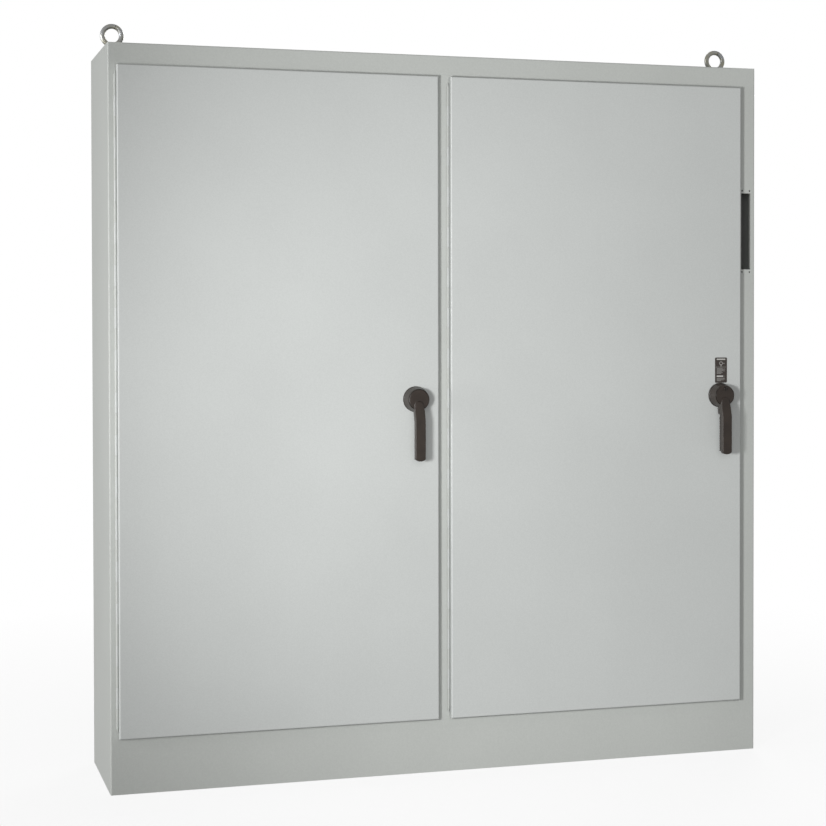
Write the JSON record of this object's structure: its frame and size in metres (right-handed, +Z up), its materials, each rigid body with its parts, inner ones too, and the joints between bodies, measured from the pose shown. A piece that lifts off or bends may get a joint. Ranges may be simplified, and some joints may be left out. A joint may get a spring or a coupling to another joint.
{
  "type": "automatic transfer switch",
  "caption": "Floor-standing steel enclosure with hinged doors, drop handles and lifting eyes, holding a double-throw transfer switch and a service breaker.",
  "frame": {"origin": "on the floor, at the centre of the four floor anchor holes, which is the centre of the body's footprint", "axes": "+X to the right as seen from the doors, +Y to the back, +Z up"},
  "size_m": [1.994, 0.547, 2.2206],
  "materials": {
    "body_paint": "light grey powder coat, fine texture",
    "door_paint": "light grey powder coat, fine texture",
    "panel_white": "white enamel",
    "zinc": "bright zinc plate",
    "handle_brown": "dark brown satin",
    "plate_dark": "dark printed plate",
    "gasket": "closed-cell foam",
    "roller_nylon": "nylon",
    "frame_steel": "grey paint",
    "bronze": "oiled bronze",
    "shaft_red": "red glass polyester",
    "phenolic": "black moulded",
    "chute_fibre": "fibre board",
    "copper": "bare copper",
    "gear_steel": "machined steel",
    "motor_grey": "dark grey enamel",
    "lever_red": "red grip",
    "toggle_black": "black",
    "button_green": "green",
    "button_red": "red"
  },
  "bodies": {
    "enclosure": {"left_side_panel": "body_paint", "right_side_panel": "body_paint", "top_panel": "body_paint", "base_panel": "body_paint", "back_panel": "body_paint", "centre_post": "body_paint", "lifting_eyes": "zinc", "frame_hinge_leaves": "body_paint", "hinge_pins": "body_paint", "mounting_panel": "panel_white", "panel_studs": "zinc", "switch_frame": "frame_steel", "pole_bases": "phenolic", "arc_chutes": "chute_fibre", "shaft_bearings": "bronze", "gear_motor": "motor_grey", "normal_terminals": "copper", "emergency_terminals": "copper", "load_terminals": "copper", "service_breaker": "phenolic", "busbars": "copper", "bus_supports": "shaft_red", "controller_case": "panel_white", "neutral_bar": "copper", "ground_bar": "copper", "control_transformer": "motor_grey"},
    "left_door_leaf": {"left_door": "door_paint", "left_door_gasket": "gasket", "left_door_hinge_leaf": "door_paint", "left_door_stiffeners": "door_paint", "left_handle_base": "handle_brown", "document_pocket": "door_paint"},
    "left_door_handle": {"left_handle": "handle_brown", "left_latch_cam": "zinc"},
    "left_upper_rod": {"left_upper_latch_rod": "zinc"},
    "left_lower_rod": {"left_lower_latch_rod": "zinc"},
    "left_upper_wheel": {"left_upper_roller": "roller_nylon"},
    "left_lower_wheel": {"left_lower_roller": "roller_nylon"},
    "right_door_leaf": {"right_door": "door_paint", "right_door_gasket": "gasket", "right_door_hinge_leaf": "door_paint", "right_door_stiffeners": "door_paint", "right_handle_base": "handle_brown", "instruction_plate": "plate_dark"},
    "right_door_handle": {"right_handle": "handle_brown", "right_latch_cam": "zinc"},
    "right_trigger": {"right_handle_trigger": "handle_brown"},
    "defeat_screw": {"interlock_screw": "zinc"},
    "right_upper_rod": {"right_upper_latch_rod": "zinc"},
    "right_lower_rod": {"right_lower_latch_rod": "zinc"},
    "right_upper_wheel": {"right_upper_roller": "roller_nylon"},
    "right_lower_wheel": {"right_lower_roller": "roller_nylon"},
    "transfer_shaft": {"main_shaft": "shaft_red", "moving_blades": "copper", "sector_gear": "gear_steel", "manual_handle": "lever_red"},
    "pinion": {"motor_pinion": "gear_steel"},
    "toggle": {"breaker_toggle": "toggle_black"},
    "test_key": {"test_button": "button_green"},
    "reset_key": {"reset_button": "button_red"}
  },
  "joints": [
    {"name": "left_door_swing", "type": "hinge", "parent": "enclosure", "child": "left_door_leaf", "pos_m": [-0.9778, -0.2345, 1.1175], "axis": [0, 0, -1], "range_deg": [0, 110]},
    {"name": "left_handle_turn", "type": "hinge", "parent": "left_door_leaf", "child": "left_door_handle", "pos_m": [-0.108, -0.255, 1.117], "axis": [0, 1, 0], "range_deg": [0, 90]},
    {"name": "left_upper_rod_slide", "type": "slide", "parent": "left_door_leaf", "child": "left_upper_rod", "axis": [0, 0, 1], "range_m": [-0.032, 0]},
    {"name": "left_upper_roller_spin", "type": "hinge", "parent": "left_upper_rod", "child": "left_upper_wheel", "pos_m": [-0.089, -0.217, 2.0444], "axis": [1, 0, 0], "continuous": true},
    {"name": "left_lower_rod_slide", "type": "slide", "parent": "left_door_leaf", "child": "left_lower_rod", "axis": [0, 0, 1], "range_m": [0, 0.032]},
    {"name": "left_lower_roller_spin", "type": "hinge", "parent": "left_lower_rod", "child": "left_lower_wheel", "pos_m": [-0.127, -0.217, 0.1906], "axis": [1, 0, 0], "continuous": true},
    {"name": "right_door_swing", "type": "hinge", "parent": "enclosure", "child": "right_door_leaf", "pos_m": [-0.0018, -0.2345, 1.1175], "axis": [0, 0, -1], "range_deg": [0, 110]},
    {"name": "right_handle_turn", "type": "hinge", "parent": "right_door_leaf", "child": "right_door_handle", "pos_m": [0.868, -0.255, 1.117], "axis": [0, 1, 0], "range_deg": [0, 90]},
    {"name": "right_upper_rod_slide", "type": "slide", "parent": "right_door_leaf", "child": "right_upper_rod", "axis": [0, 0, 1], "range_m": [-0.032, 0]},
    {"name": "right_upper_roller_spin", "type": "hinge", "parent": "right_upper_rod", "child": "right_upper_wheel", "pos_m": [0.887, -0.217, 2.0444], "axis": [1, 0, 0], "continuous": true},
    {"name": "right_lower_rod_slide", "type": "slide", "parent": "right_door_leaf", "child": "right_lower_rod", "axis": [0, 0, 1], "range_m": [0, 0.032]},
    {"name": "right_lower_roller_spin", "type": "hinge", "parent": "right_lower_rod", "child": "right_lower_wheel", "pos_m": [0.849, -0.217, 0.1906], "axis": [1, 0, 0], "continuous": true},
    {"name": "right_trigger_squeeze", "type": "hinge", "parent": "right_door_handle", "child": "right_trigger", "pos_m": [0.868, -0.279, 1.073], "axis": [-1, 0, 0], "range_deg": [0, 3.4], "stiffness_Nm_per_rad": 2, "springref_deg": -3.44},
    {"name": "defeat_screw_turn", "type": "hinge", "parent": "right_door_handle", "child": "defeat_screw", "pos_m": [0.871, -0.299, 1.138], "axis": [0, 1, 0], "range_deg": [0, 90]},
    {"name": "transfer_throw", "type": "hinge", "parent": "enclosure", "child": "transfer_shaft", "pos_m": [-0.5, 0.07, 0.94], "axis": [1, 0, 0], "range_deg": [0, 76]},
    {"name": "pinion_spin", "type": "hinge", "parent": "enclosure", "child": "pinion", "pos_m": [-0.754, 0.07, 0.82735], "axis": [1, 0, 0], "range_deg": [-304, 0]},
    {"name": "breaker_toggle_throw", "type": "hinge", "parent": "enclosure", "child": "toggle", "pos_m": [0.56, 0.046, 1.665], "axis": [1, 0, 0], "range_deg": [0, 30]},
    {"name": "test_button_press", "type": "slide", "parent": "enclosure", "child": "test_key", "axis": [0, 1, 0], "range_m": [0, 0.002], "stiffness_N_per_m": 800, "springref_m": -0.001},
    {"name": "reset_button_press", "type": "slide", "parent": "enclosure", "child": "reset_key", "axis": [0, 1, 0], "range_m": [0, 0.002], "stiffness_N_per_m": 800, "springref_m": -0.001}
  ],
  "couplings": [
    {"joint": "left_upper_rod_slide", "follows": "left_handle_turn", "m_per_rad": -0.02037},
    {"joint": "left_lower_rod_slide", "follows": "left_handle_turn", "m_per_rad": 0.02037},
    {"joint": "right_upper_rod_slide", "follows": "right_handle_turn", "m_per_rad": -0.02037},
    {"joint": "right_lower_rod_slide", "follows": "right_handle_turn", "m_per_rad": 0.02037},
    {"joint": "pinion_spin", "follows": "transfer_throw", "ratio": -4}
  ]
}
